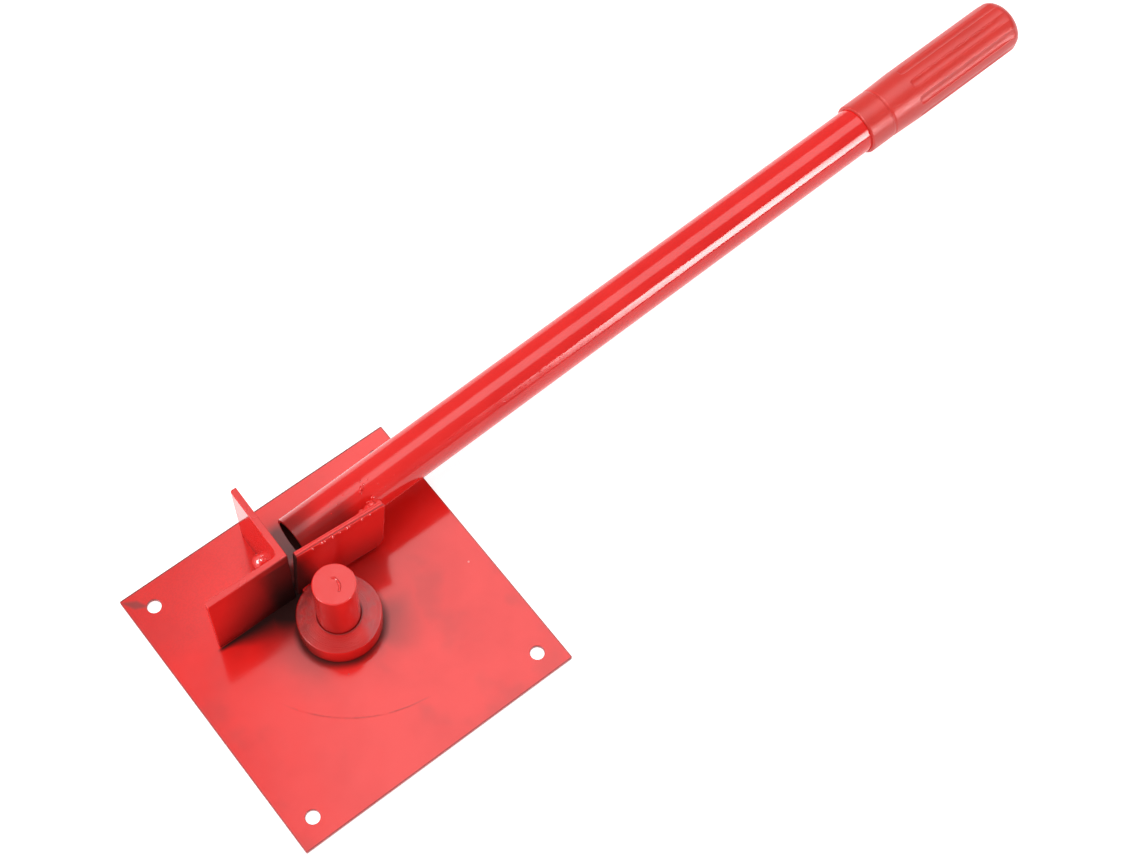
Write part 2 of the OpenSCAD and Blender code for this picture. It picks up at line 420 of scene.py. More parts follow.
def weld_bead(name, path, size, seed, lump=0.16, ripple=0.10, pitch=1.7, around=20, floor=-2.4):
    """Bead of weld along a path: a rounded cord with ripples and lumps, thin at its ends, cut at floor."""
    places = [Vector(point) for point in path]
    lengths = [0.0]
    for start, end in zip(places, places[1:]):
        lengths.append(lengths[-1] + (end - start).length)
    total = lengths[-1]
    count = max(12, int(total / 0.35))
    points, faces = [], []
    for step in range(count + 1):
        s = total * step / count
        leg = max(i for i in range(len(places) - 1) if lengths[i] <= s + 1e-9)
        share = (s - lengths[leg]) / max(1e-9, lengths[leg + 1] - lengths[leg])
        middle = places[leg].lerp(places[leg + 1], min(1.0, share))
        along = (places[leg + 1] - places[leg]).normalized()
        side = along.cross(Vector((0, 0, 1)))
        if side.length < 0.1:
            side = along.cross(Vector((1, 0, 0)))
        side.normalize()
        up = side.cross(along)
        end = min(s, total - s) / size
        thin = math.sqrt(max(0.0004, 1 - (1 - min(1.0, end)) ** 2))
        wave = 1 + ripple * (abs(math.sin(math.pi * s / pitch)) - 0.6)
        for angle in angles(around):
            way = side * math.cos(angle) + up * math.sin(angle)
            spot = middle + way * size
            broad = noise.noise(spot * 0.35 + Vector((seed, 0, 0)))
            fine = noise.noise(spot * 0.9 + Vector((0, seed, 0)))
            bulge = broad + 0.5 * fine
            point = middle + way * (size * thin * wave * (1 + lump * bulge))
            point.z = max(point.z, floor)
            points.append(point)
    for step in range(count):
        faces += band(step * around, (step + 1) * around, around)
    faces.append(tuple(range(around))[::-1])
    faces.append(tuple(range(count * around, (count + 1) * around)))
    return mesh_of(name, points, faces)


def drops(name, spots, segments=14, rings=4):
    """Flat drops of spatter or paint, each from (point, outward direction, radius, height)."""
    points, faces = [], []
    for number, (spot, outward, radius, height) in enumerate(spots):
        spot, up = Vector(spot), Vector(outward).normalized()
        side = up.orthogonal().normalized()
        other = up.cross(side)
        first = len(points)
        for ring in range(rings):
            lift = math.pi / 2 * ring / rings
            for angle in angles(segments):
                wobble = 1 + 0.12 * math.sin(2 * angle + 1.7 * number) + 0.06 * math.sin(3 * angle + number)
                reach = radius * math.cos(lift) * wobble
                points.append(
                    spot + (side * math.cos(angle) + other * math.sin(angle)) * reach
                    + up * (height * math.sin(lift) - 0.12)
                )
        points.append(spot + up * (height - 0.12))
        for ring in range(rings - 1):
            faces += band(first + ring * segments, first + (ring + 1) * segments, segments)
        top, last = len(points) - 1, first + (rings - 1) * segments
        faces += [(last + i, last + (i + 1) % segments, top) for i in range(segments)]
        faces.append(tuple(range(first, first + segments))[::-1])
    return mesh_of(name, points, faces)


def on_tube_skin(along, degrees):
    """A point just over the tube's skin and its outward direction, degrees from the top towards the front."""
    angle = math.radians(degrees)
    outward = Vector((0, -math.sin(angle), math.cos(angle)))
    return Vector((along, 0, 0)) + outward * (TUBE_RADIUS + 0.05), outward


# ---------------------------------------------------------------- properties


class BenderSizes(bpy.types.PropertyGroup):
    """Sizes of the details that the looks add."""

    sheet_edge: FloatProperty(
        name="Sheet edge rounding", description="Rounding that shearing and paint leave on the plate's edges",
        default=0.00035, min=0.0001, max=0.001, unit="LENGTH",
    )
    bar_edge: FloatProperty(
        name="Bar edge rounding", description="Rounding of the edges of the stop and the bending bracket",
        default=0.00055, min=0.0001, max=0.0012, unit="LENGTH",
    )
    root_radius: FloatProperty(
        name="Angle root radius", description="Fillet in the inner corner of the angle iron",
        default=0.0035, min=0.001, max=0.006, unit="LENGTH",
    )
    bead_size: FloatProperty(
        name="Weld bead size", description="Half width of the weld beads at the stop's foot",
        default=0.0034, min=0.001, max=0.006, unit="LENGTH",
    )
    flutes: IntProperty(
        name="Grip flutes", description="Number of flutes round the grip", default=9, min=5, max=10,
    )
    flute_depth: FloatProperty(
        name="Flute depth", description="Depth of the grip's flutes",
        default=0.0011, min=0.0003, max=0.0014, unit="LENGTH",
    )


class BenderPaint(bpy.types.PropertyGroup):
    """Colours and gloss of the paint and the grip."""

    red: FloatVectorProperty(
        name="Red", description="Main tone of the enamel", subtype="COLOR", size=3, min=0, max=1,
        default=(0.80, 0.019, 0.0155),
    )
    red_deep: FloatVectorProperty(
        name="Deep red", description="Tone of the enamel where it lies thicker", subtype="COLOR", size=3,
        min=0, max=1, default=(0.74, 0.013, 0.011),
    )
    grip_red: FloatVectorProperty(
        name="Grip red", description="Tone of the grip's plastic", subtype="COLOR", size=3, min=0, max=1,
        default=(0.68, 0.038, 0.029),
    )
    # Also the tone of the painted shade in corners, gaps and under parts, and of the paint pits.
    soot_and_shade: FloatVectorProperty(
        name="Soot", description="Tone of the burnt stains round the welds", subtype="COLOR", size=3,
        min=0, max=1, default=(0.028, 0.014, 0.013),
    )
    dust: FloatVectorProperty(
        name="Dust", description="Tone of the dust specks on the enamel", subtype="COLOR", size=3,
        min=0, max=1, default=(0.9, 0.34, 0.32),
    )
    # Greyish darker tone that paints the post's shade and a grey sheen on the hub's top.
    shade_sheen: FloatVectorProperty(
        name="Haze", description="Tone of the greyish film on handled faces", subtype="COLOR", size=3,
        min=0, max=1, default=(0.52, 0.065, 0.07),
    )
    roughness: FloatProperty(
        name="Roughness", description="Roughness of the enamel", default=0.085, min=0.02, max=0.6,
        subtype="FACTOR",
    )
    ior: FloatProperty(
        name="Index of refraction", description="Index of refraction of the enamel",
        default=1.52, min=1.3, max=1.8,
    )


class BenderStage(bpy.types.PropertyGroup):
    """Camera and light of the stage."""

    lens: FloatProperty(
        name="Lens", description="Focal length on a 36 mm wide sensor", default=67.52, min=20, max=200,
        unit="CAMERA",
    )
    distance: FloatProperty(
        name="Distance", description="Distance of the camera from the point it looks at",
        default=1.3878, min=0.5, max=5, unit="LENGTH",
    )
    target: FloatVectorProperty(
        name="Target", description="Point that the camera looks at", subtype="TRANSLATION", size=3,
        unit="LENGTH", default=(0.19665, 0.02465, 0.003),
    )
    azimuth: FloatProperty(
        name="Azimuth", description="Side from which the camera looks", subtype="ANGLE",
        default=math.radians(-42.21),
    )
    elevation: FloatProperty(
        name="Elevation", description="Height angle from which the camera looks", subtype="ANGLE",
        default=math.radians(63.67),
    )
    roll: FloatProperty(
        name="Roll", description="Tilt of the camera about its line of sight", subtype="ANGLE",
        default=math.radians(4.28),
    )
    softbox: FloatProperty(
        name="Softbox", description="Brightness of the broad light overhead", default=2.7, min=0, max=20,
    )
    strip: FloatProperty(
        name="Strip light", description="Brightness of the low light in front", default=19.0, min=0, max=60,
    )
    overhead: FloatProperty(
        name="Overhead light", description="Brightness of the soft light that falls from above", default=3.2,
        min=0, max=20,
    )
    left: FloatProperty(
        name="Left light", description="Brightness of the soft light on the left", default=1.9, min=0, max=20,
    )
    front: FloatProperty(
        name="Front light", description="Brightness of the low soft light in front",
        default=3.5, min=0, max=20,
    )
    room: FloatProperty(
        name="Room", description="Brightness of the rest of the room", default=0.36, min=0, max=4,
    )


# ---------------------------------------------------------------- pieces


class BENDER_OT_plate(bpy.types.Operator):
    """Sheared steel base plate with four bolt holes, glossy, with soot and painted shade round the post and
    the stop, and painted shadows of the stop and the tube
    """

    bl_idname = "bender.plate"
    bl_label = "Base plate"

    def execute(self, context):
        edge = 1000 * context.scene.bender_sizes.sheet_edge
        (x0, y0, z0), (x1, y1, z1) = millimetres(PLATE_LOW), millimetres(PLATE_HIGH)
        outline = rounded([(x0, y0, 1), (x1, y0, 1), (x1, y1, 1), (x0, y1, 1)])
        inset = BOLT_INSET
        holes = [
            circle(x, y, BOLT_RADIUS) for x in (x0 + inset, x1 - inset) for y in (y0 + inset, y1 - inset)
        ]
        holes.append(circle(POST_X, POST_Y, POST_HOLE_RADIUS, 96))

        def stain_and_shade(finish, at, x, y, z):
            dx, dy = x - POST_X, y - POST_Y
            d = span(dx, dy)
            cloud = finish.noise(at, 55, 3) - 0.5
            right = finish.smooth((dx * 0.9 - dy * 0.42) / d, 0.1, 0.95)
            # Painted shadow of the hub and post, partly a stain, darkest to the right of the hub.
            lobe = finish.smooth((dx * 0.8 - dy * 0.6) / d, 0.84, 0.98)
            lobe = lobe.most(finish.smooth(dx / d, -0.5, -0.95))
            hub_shadow_and_stain = finish.smooth(d + cloud * 12, 58, 27) * (0.04 + lobe * 0.4)
            # Painted contact shade round the hub's foot, partly soot, laid dull over the gloss.
            contact_shade_and_soot = finish.smooth(d + cloud * 3, 32.5, 26.4) * (0.86 - right * 0.18)
            # Painted shade and a painted dark reflection in the wedge between the stop's front face and the
            # hub.
            px, py = x + 14, y - 34
            wedge_shade = finish.smooth((px * px * 0.5 + py * py * 1.3).root() + cloud * 7, 28, 9)
            # Painted shade along the foot of the stop's front face, widening towards the hub.
            ahead = 36 - y
            width = finish.smooth(x, -68, -30) * 21 + 3
            foot = finish.smooth(ahead / width, 1.0, 0.0) * finish.smooth(ahead, -1.0, 0.0)
            foot = foot * finish.smooth(x, -71, -66) * finish.smooth(x, 6, -8)
            # Painted shade in the gap between the stop's rear leg and the bracket.
            gap_shade = finish.smooth((x + 6).size() + (y - 45).size() * 0.5 + cloud * 4, 14, 5) * 0.8
            # Painted shadow of the stop's rear leg on the plate beside the tube's open end.
            qx, qy = x - 3, y - 70
            leg_shadow = finish.smooth((qx * qx * 0.8 + qy * qy * 0.3).root() + cloud * 6, 11, 4.5) * 0.74
            sx, sy = x + 93, y - 92
            along, across = sx * 0.7 - sy * 0.7, sx * 0.7 + sy * 0.7
            smudge = finish.smooth(along.size() * 0.3 + across.size() + cloud * 2, 4.4, 1.2) * 0.6
            # Darker plate behind the stop's corner and towards the back left, broken by fine noise.
            bx, by = x + 12, y - 52
            behind = finish.smooth((bx * bx * 0.5 + by * by * 0.5).root() + cloud * 12, 30, 6) * 0.36
            fine_noise = finish.smooth(finish.noise(at, 900, 2), 0.42, 0.6)
            darker_behind = finish.smooth(y + cloud * 30, 38, 62) * finish.smooth(x + cloud * 20, 0, -30) * 0.15
            behind = behind.most(darker_behind) * (0.55 + 0.45 * fine_noise)
            rim = finish.smooth(y, y1 - 1.2, y1 - 0.6) * 0.75
            edges = finish.smooth(x.size().most(y.size()), y1 - 1, y1 - 0.5) * 0.5
            hx, hy = x.size() - (x1 - inset), y.size() - (y1 - inset)
            bores = finish.smooth(span(hx, hy), BOLT_RADIUS + 0.5, BOLT_RADIUS - 0.05) * 0.6
            # Painted shadow of the bracket and tube on the plate in front of the bracket.
            gx, gy = x - 35, y - 25
            soft = finish.smooth(span(gx, gy) + cloud * 10, 20, 4) * 0.32
            ux, uy = x - SCRATCH_X, y - SCRATCH_Y
            arc = finish.smooth((span(ux, uy) - SCRATCH_RADIUS + cloud).size(), 0.8, 0.2)
            arc = arc * finish.smooth(uy, -40, -60) * finish.smooth(ux, 0, -30)
            arc = arc * finish.smooth(cloud, -0.12, 0.06) * 0.3
            smears = finish.smooth(finish.noise(at, 26, 3), 0.52, 0.72) * 0.14
            # Under the gloss: stains, dirt and painted shadows; over it, as a dull layer: painted shade,
            # partly soot.
            under = hub_shadow_and_stain.most(leg_shadow).most(smudge).most(behind).most(rim).most(edges).most(bores)
            under = under.most(soft).most(arc).most(smears)
            return under, contact_shade_and_soot.most(wedge_shade).most(foot).most(gap_shade).least(0.98)

        def relief(finish, at, x, y, z):
            sx, sy = x - SCRATCH_X, y - SCRATCH_Y
            arc = (span(sx, sy) - SCRATCH_RADIUS).size()
            scratch = finish.smooth(arc, 0.35, 0.1) * finish.smooth(sy, -40, -55)
            scratch = scratch * finish.smooth(sx, -10, -25)
            scuff = finish.smooth(finish.noise(at, 30, 4, 0.7, (1, 9, 1)), 0.66, 0.74)
            return scuff * 0.25 - scratch, 0.00003

        material = red_paint("plate_enamel", stain_and_shade, relief, dust=0.7)
        add_piece(
            "plate_sheet", cut_shape("plate_sheet", [outline] + holes, z1 - z0, edge), shift(0, 0, z0),
            material, "base", ["base_plate"],
        )
        return {"FINISHED"}


class BENDER_OT_post(bpy.types.Operator):
    """Turned pivot post with the burr that parting off leaves on its top"""

    bl_idname = "bender.post"
    bl_label = "Pivot post"

    def execute(self, context):
        top = 1000 * POST_HIGH.z - 0.5
        radius = POST_RADIUS
        profile = rounded([(0, 0, 0), (radius, 0, 0), (radius, top, 0.8), (0, top, 0)], 4)

        def relief(finish, at, x, y, z):
            dx, dy = x - POST_X, y - POST_Y
            d = span(dx, dy)
            on_top = finish.top(z, top)
            rings = (d * 7.0 + finish.noise(at, 120, 2) * 5).sine()
            lines = finish.noise(at, 55, 3, 0.6, (1, 1, 14))
            dents = finish.noise(at, 130, 2) * 2.2
            faced = rings * 0.1 + finish.noise(at, 420, 3) * 0.6 + dents
            return on_top * faced + (1 - on_top) * lines, 0.00006

        def rough(finish, at, x, y, z):
            return finish.top(z, top) * 0.06

        def stain_and_shade(finish, at, x, y, z):
            # Painted shade: darker low down by the hub, and on the side towards the stop below the top edge.
            low = finish.smooth(z + finish.noise(at, 60, 2) * 6, 24, 20) * 0.3
            dx, dy = x - POST_X, y - POST_Y
            shade = finish.smooth((dx + dy * 0.3) / radius, -0.55, -0.95) * 0.28
            shade = shade * finish.smooth(z, top - 0.2, top - 1.2)
            return low.most(shade), low * 0.3

        material = red_paint("post_enamel", stain_and_shade, relief, rough, tone=0.98)
        bar = turned_bar("post_bar", profile)
        add_piece("post_bar", bar, ON_POST, material, "base", ["pivot_post"], crease=50)
        curl = [
            (x, y, top - 0.52) for x, y in (
                (0.4, 3.9), (1.7, 3.7), (2.6, 2.8), (2.9, 1.2), (2.7, -0.5),
                (2.3, -2.2), (1.7, -3.8), (0.4, -5.1), (-1.1, -5.7),
            )
        ]

        # Painted shade on the burr's flanks below its crest.
        def burr_shadow(finish, at, x, y, z):
            return finish.smooth(z, top + 0.3, top + 0.12) * 0.6, 0 * z

        burr = weld_bead("post_burr", curl, 0.97, 2.0, 0.3, 0.06, 1.6, 14)
        add_piece("post_burr", burr, ON_POST, red_paint("burr_enamel", burr_shadow), "base")
        return {"FINISHED"}


class BENDER_OT_foot_weld(bpy.types.Operator):
    """Ground weld that holds the post's foot under the plate"""

    bl_idname = "bender.foot_weld"
    bl_label = "Foot weld"

    def execute(self, context):
        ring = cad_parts["post_weld_ring"]
        ring.data.materials.clear()

        def relief(finish, at, x, y, z):
            return finish.noise(at, 240, 3, 0.6, (1, 6, 1)), 0.00008

        ring.data.materials.append(red_paint("foot_weld_enamel", None, relief, tone=0.9, gloss=0.6))
        return {"FINISHED"}


class BENDER_OT_stop(bpy.types.Operator):
    """Upright length of angle iron that holds the rod"""

    bl_idname = "bender.stop"
    bl_label = "Stop angle"

    def execute(self, context):
        sizes = context.scene.bender_sizes
        leg, t, height = STOP_LEG, STOP_WALL, STOP_HEIGHT
        top = PLATE_TOP + height
        outline = rounded([
            (0, 0, 0.7), (0, leg, 0.5), (-t, leg, 1.6), (-t, t, 1000 * sizes.root_radius),
            (-leg, t, 1.6), (-leg, 0, 0.5),
        ])

        def stain_and_shade(finish, at, x, y, z):
            sx, sy, sz = finish.turned(at, STOP_YAW, STOP_CORNER)
            cloud = finish.noise(at, 40, 3) - 0.5
            # Painted shade on the stop's front face: darker towards the hub and lower down, the painted cast
            # shadow of the post, and a dark line along the foot; painted shade too on the right end face and
            # low in the inner corner.
            front = finish.smooth(sy, 1.2, 0.2)
            corner_shade = (sx * 0.017 - sz * 0.007 + 1.2 + cloud * 0.12).most(0.03).least(0.8)
            shade = finish.smooth(sx + cloud * 5, -38, -10) * (0.84 + finish.smooth(sz, 55, 8) * 0.15)
            shade = shade * (1 - finish.smooth(sz + cloud * 2, 57, 65) * 0.72)
            foot = finish.smooth(sz + cloud * 2, 3.4, 0.4) * 0.85
            right = finish.smooth(sx, -0.9, -0.1)
            right = right * finish.smooth(sz + cloud * 16 + sy * 0.6, 76, 46) * 0.95
            inner = finish.smooth(sy, 3.8, 4.3) * finish.smooth(sz + cloud * 10, 14, 4) * 0.3
            over = (front * corner_shade.most(shade).most(foot)).most(right).least(0.98)
            return inner, over

        def relief(finish, at, x, y, z):
            sawn = finish.smooth(z, top - 0.5, top - 0.1)
            cuts = finish.noise(at, 320, 3, 0.6, (1, 5, 1))
            mill = finish.noise(at, 70, 3, 0.6, (1, 1, 2.5))
            return sawn * cuts + (1 - sawn) * mill * 0.25, 0.00008

        def rough(finish, at, x, y, z):
            return finish.smooth(z, top - 0.5, top - 0.1) * 0.16

        material = red_paint("stop_enamel", stain_and_shade, relief, rough)
        iron = cut_shape("stop_iron", [outline], height, 1000 * sizes.bar_edge)
        add_piece("stop_iron", iron, ON_STOP, material, "base", ["stop_angle"])
        return {"FINISHED"}


class BENDER_OT_stop_welds(bpy.types.Operator):
    """Weld beads along the inner foot of the stop, with spatter round them"""

    bl_idname = "bender.stop_welds"
    bl_label = "Stop welds"

    def execute(self, context):
        size = 1000 * context.scene.bender_sizes.bead_size
        material = weld_enamel("stop_weld_enamel")
        rear = weld_bead(
            "stop_rear_weld", [(-6.0, 6.4, 1.2), (-6.2, 14, 2.0), (-5.8, 22, 1.4), (-5.2, 34.5, 0.6)],
            size * 1.12, 5.0, 0.7, 0.16, 2.6, 28,
        )
        front = weld_bead(
            "stop_front_weld", [(-6.4, 6.3, 1.2), (-24, 5.9, 0.7), (-46, 5.2, 0.4)],
            size, 9.0, 0.6, 0.14, 2.4, 28,
        )
        add_weld("stop_rear_weld", rear, ON_STOP, material, "base", "stop_weld_rear_bead")
        add_weld("stop_front_weld", front, ON_STOP, material, "base", "stop_weld_front_bead")
        spots = []
        for x, y, r, h in (
            (-9.6, 12, 2.4, 2.2), (-13, 8.6, 2.0, 1.8), (-8.4, 17.5, 1.6, 1.4), (-11, 24, 1.1, 0.9),
            (-16.5, 11.5, 1.2, 1.0),
            (-13.6, 17, 0.9, 0.7), (-21, 12, 0.8, 0.6), (-12.4, 31, 0.8, 0.6), (-19, 22, 0.6, 0.5),
            (-27, 15, 0.7, 0.5),
            (-33, 10.4, 0.6, 0.5), (-17, 37, 0.55, 0.4), (-39, 13, 0.5, 0.4), (-25, 30, 0.45, 0.35),
        ):
            spots.append(((x, y, 0), (0, 0, 1), r, h))
        spots.append(((-4.4, 31, 7.5), (-0.7, 0, 0.7), 4.6, 3.2))
        spots.append(((-4.4, 25, 19), (-1, 0, 0.2), 2.6, 1.4))
        for x, y, z, r, h in (
            (-6.9, 31, 8.6, 4.6, 1.15), (-7.9, 24.5, 3.6, 4.0, 1.3), (-9.4, 9.4, 2.6, 2.6, 1.0),
        ):
            spots.append(((x, y, z), (-0.48, -0.12, 0.87), r, h))
        for y, z, r, h in (
            (9, 9, 2.2, 1.4), (14, 8.5, 2.8, 2.2), (12, 14, 1.2, 0.7), (19, 10, 2.4, 1.8),
            (7.6, 17, 0.9, 0.5),
            (24, 6.5, 3.6, 3.0), (22, 15, 1.5, 0.9), (30, 6, 1.7, 1.2), (28, 12, 0.9, 0.5), (34, 8, 1.1, 0.7),
        ):
            spots.append(((-4.4, y, z), (-1, 0, 0), r, h))
        add_weld("stop_weld_spatter", drops("stop_weld_spatter", spots), ON_STOP, material, "base")
        return {"FINISHED"}


def weld_enamel(name):
    """Enamel that has run over rough weld metal."""

    def relief(finish, at, x, y, z):
        return finish.noise(at, 150, 2), 0.00016

    return red_paint(name, None, relief, tone=0.97)


class BENDER_OT_hub(bpy.types.Operator):
    """Hub ring of the arm, faced on a lathe, so that its top shows fine turning lines"""

    bl_idname = "bender.hub"
    bl_label = "Hub ring"

    def execute(self, context):
        low, high = 1000 * RING_LOW.z, 1000 * RING_HIGH.z
        radius = 500 * (RING_HIGH.x - RING_LOW.x)
        bore = POST_RADIUS + HUB_FIT
        profile = rounded([(bore, low, 0.4), (radius, low, 0.6), (radius, high, 0.8), (bore, high, 0.5)], 4)

        def relief(finish, at, x, y, z):
            dx, dy = x - POST_X, y - POST_Y
            d = span(dx, dy)
            wander = finish.noise(at, 60, 2) * 1.6
            lathe = finish.node("ShaderNodeTexNoise", {"noise_dimensions": "1D"}, {
                "W": d + wander * 0.25, "Scale": 1.5, "Detail": 3.0, "Roughness": 0.7,
            })
            faced = finish.top(z, high)
            sides = finish.noise(at, 60, 3, 0.6, (1, 1, 10))
            return faced * lathe + (1 - faced) * sides * 0.4, 0.00022

        def rough(finish, at, x, y, z):
            return finish.top(z, high) * 0.1

        def stain_and_shade(finish, at, x, y, z):
            dx, dy = x - POST_X, y - POST_Y
            d = span(dx, dy)
            faced = finish.top(z, high)
            mottle = finish.smooth(finish.noise(at, 160, 4), 0.35, 0.65)
            # Painted shade, partly soot: on the top darker towards the back left by the stop and bracket,
            # towards the front left and next to the post; on the side darker at the foot and towards the
            # stop. A noise mottles it.
            left = finish.smooth(dy * 0.8 - dx * 0.6, 4, 20) * (0.38 + 0.3 * mottle)
            front = finish.smooth(0 - dy * 0.6 - dx * 0.8, 2, 20) * 0.3
            root = finish.smooth(d, 15.4, 13.8) * 0.55
            foot = finish.smooth(z + finish.noise(at, 50, 2) * 5, low + 7, low + 1.5) * 0.5
            end = finish.smooth(dx - dy * 0.35, -14, -27) * 0.5
            under = (faced * (left * 0.7).most(root)).most((1 - faced) * foot.most(end)).least(0.9)
            over = (1 - faced) * end * 0.5 + faced * (root * 0.4).most(left * 0.4).most(front)
            return under, over

        # Painted shade of the post on the right of the hub's top, with a painted grey sheen, mottled by
        # noise.
        def shade_sheen(finish, at, x, y, z):
            dx, dy = x - POST_X, y - POST_Y
            mottle = finish.smooth(finish.noise(at, 130, 4), 0.35, 0.6)
            right = finish.smooth(dx * 0.95 - dy * 0.3, 8, 16) * finish.top(z, high)
            return right * (0.55 + 0.4 * mottle)

        material = red_paint("hub_enamel", stain_and_shade, relief, rough, shade_sheen=shade_sheen)
        collar = turned_bar("hub_collar", profile, 160)
        add_piece("hub_collar", collar, ON_POST, material, "arm", ["hub_ring"], crease=50)
        return {"FINISHED"}


class BENDER_OT_hub_welds(bpy.types.Operator):
    """Welds between the hub ring and the bracket's face"""

    bl_idname = "bender.hub_welds"
    bl_label = "Hub welds"

    def execute(self, context):
        material = weld_enamel("hub_weld_enamel")
        for name, node, side in (
            ("hub_left_weld", "hub_weld_left", -1),
            ("hub_right_weld", "hub_weld_right", 1),
        ):
            path = [(side * s, 25.9 - s * s * 0.006, z) for s, z in ((1.2, 16.6), (5.5, 16.3), (10.5, 15.2))]
            bead = weld_bead(name, path, 1.5, 3.0 + side, 0.4, 0.12, 1.8)
            add_weld(name, bead, ON_ARM, material, "arm", node)
        return {"FINISHED"}


class BENDER_OT_bracket(bpy.types.Operator):
    """Upright bending bracket, with runs of paint along its top edge"""

    bl_idname = "bender.bracket"
    bl_label = "Bending bracket"

    def execute(self, context):
        edge = 1000 * context.scene.bender_sizes.bar_edge
        low, top = BRACKET_LOW, BRACKET_TOP
        outline = rounded([
            (-13.6, low, 0.8), (42.9, low, 1.2), (48.9, low + 6, 1.2), (52.6, top, 1.4), (-10, top, 0.8),
        ])

        def stain_and_shade(finish, at, x, y, z):
            ax, ay, az = finish.turned(at, ARM_YAW, (POST_X, POST_Y, 0))
            cloud = finish.noise(at, 45, 3) - 0.5
            # Painted shade on the bracket: on the front face darker by the hub corner, lower down and along
            # the low edge; darker on the left end and low on the back face; a painted dark line in the groove
            # along the top edge.
            face = finish.smooth(ay, 27.6, 26.9)
            corner = finish.smooth(ax + az * 0.22 + cloud * 8, 14, -1) * 0.9
            lower = finish.smooth(az + cloud * 8, 48, 8) * 0.3
            slant = ax - (az - low) * 0.066
            end = finish.smooth(slant, -12.6, -13.2) * finish.smooth(az + cloud * 10, 84, 64) * 0.95
            low_edge_shade = finish.smooth(az + cloud * 3, 13.5, 11.5) * 0.7
            back = finish.smooth(ay, 30.2, 30.7) * finish.smooth(az + cloud * 12, 62, 40) * 0.5
            line = finish.smooth((ay - 27.7 + cloud * 0.4).size(), 0.5, 0.15)
            line = line * finish.smooth(az, top - 0.5, top - 0.1) * 0.55
            return back.most(line), (face * corner.most(lower).most(low_edge_shade)).most(end).least(0.96)

        def relief(finish, at, x, y, z):
            ax, ay, az = finish.turned(at, ARM_YAW, (POST_X, POST_Y, 0))
            mill = finish.noise(at, 65, 3, 0.6, (1, 1, 2))
            wander = (finish.noise(at, 90, 2) - 0.5) * 0.5
            on_top = finish.smooth(az, top - 0.5, top - 0.1)
            groove = finish.smooth((ay - 27.75 + wander).size(), 0.75, 0.1) * on_top
            step = finish.smooth(ay + wander, 29.2, 29.9) * on_top
            return mill * 0.2 - groove - step * 0.8, 0.0003

        material = red_paint("bracket_enamel", stain_and_shade, relief)
        plate = cut_shape("bracket_plate", [outline], BRACKET_WALL, edge)
        place = ON_ARM @ shift(0, BRACKET_BACK, 0) @ spin(90, "X")
        add_piece("bracket_plate", plate, place, material, "arm", ["bending_bracket"])
        runs = []
        for along, radius, height in (
            (1.3, 0.9, 0.6), (7.9, 1.1, 0.7), (9.8, 0.8, 0.5), (15.3, 1.1, 0.7), (20.4, 0.7, 0.4),
            (25.5, 1.0, 0.6), (27.2, 0.7, 0.4), (35.8, 1.0, 0.7), (41.5, 0.8, 0.5), (46.6, 0.6, 0.4),
        ):
            runs.append(((along, 26.75, top - 0.45), (0.15, -0.7, 0.7), radius * 1.45, height * 0.8))
        add_piece("bracket_paint_runs", drops("bracket_paint_runs", runs), ON_ARM, material, "arm", crease=60)
        return {"FINISHED"}


class BENDER_OT_tube_welds(bpy.types.Operator):
    """Welds between the bracket and the tube, with spatter on the tube"""

    bl_idname = "bender.tube_welds"
    bl_label = "Tube welds"

    def execute(self, context):
        material = weld_enamel("tube_weld_enamel")
        end = weld_bead(
            "tube_end_weld",
            [(50.4, 33.0, 60), (50.2, 33.4, 53), (50.0, 33.8, 45), (50.2, 33.4, 36), (50.2, 33.0, 28)],
            3.3, 12.0, 0.42, 0.12, 2.2,
        )
        crest = weld_bead(
            "tube_crest_weld", [(35.5, 32.0, 57.5), (40.5, 32.6, 58.6), (45.5, 33.4, 59.4), (49.5, 34.6, 60)],
            2.1, 17.0, 0.45, 0.12, 2.2,
        )
        start = weld_bead(
            "tube_start_weld", [(2.5, 31.4, 45.5), (8, 31.5, 46), (14.5, 31.7, 45.6)],
            1.5, 22.0, 0.4, 0.12, 2.0,
        )
        add_weld("tube_end_weld", end, ON_ARM, material, "arm", "tube_weld_end")
        add_weld("tube_crest_weld", crest, ON_ARM, material, "arm")
        add_weld("tube_start_weld", start, ON_ARM, material, "arm", "tube_weld_start")
        spots = []
        for along, degrees, radius, height in (
            (48.5, 16, 1.5, 0.9), (51, 49, 1.6, 1.0), (50.2, 0, 1.0, 0.5), (58.3, 29, 0.8, 0.4),
            (46.5, 22, 1.1, 0.6), (50.8, 12, 0.8, 0.5), (47.2, 52, 1.4, 0.7), (54.5, 8, 0.6, 0.3),
            (61, 44, 0.5, 0.3), (70.2, 35, 0.5, 0.3),
            (83.2, 50, 0.5, 0.35), (86.6, 53, 0.5, 0.3), (111.4, 45, 0.45, 0.25), (134.6, 49, 0.5, 0.3),
            (154.5, 50, 0.55, 0.35), (159.5, 43, 0.7, 0.4), (162.4, 46, 0.5, 0.3), (167.5, 44, 0.7, 0.4),
            (171.3, 47, 0.5, 0.3), (175.8, 43, 0.6, 0.35), (180.2, 44, 0.55, 0.3), (184.1, 41, 0.7, 0.4),
            (188.4, 45, 0.5, 0.3), (191.8, 44, 0.65, 0.35), (196.2, 42, 0.45, 0.25), (200.2, 43, 0.5, 0.3),
            (232.8, 45, 0.4, 0.25), (30.5, 12, 0.45, 0.3), (24.2, 22, 0.4, 0.25), (36.8, 4, 0.5, 0.3),
        ):
            spot, outward = on_tube_skin(along - TUBE_START, degrees)
            spots.append((spot, outward, radius, height))
        add_weld("tube_spatter", drops("tube_spatter", spots), ON_TUBE, material, "arm")
        return {"FINISHED"}


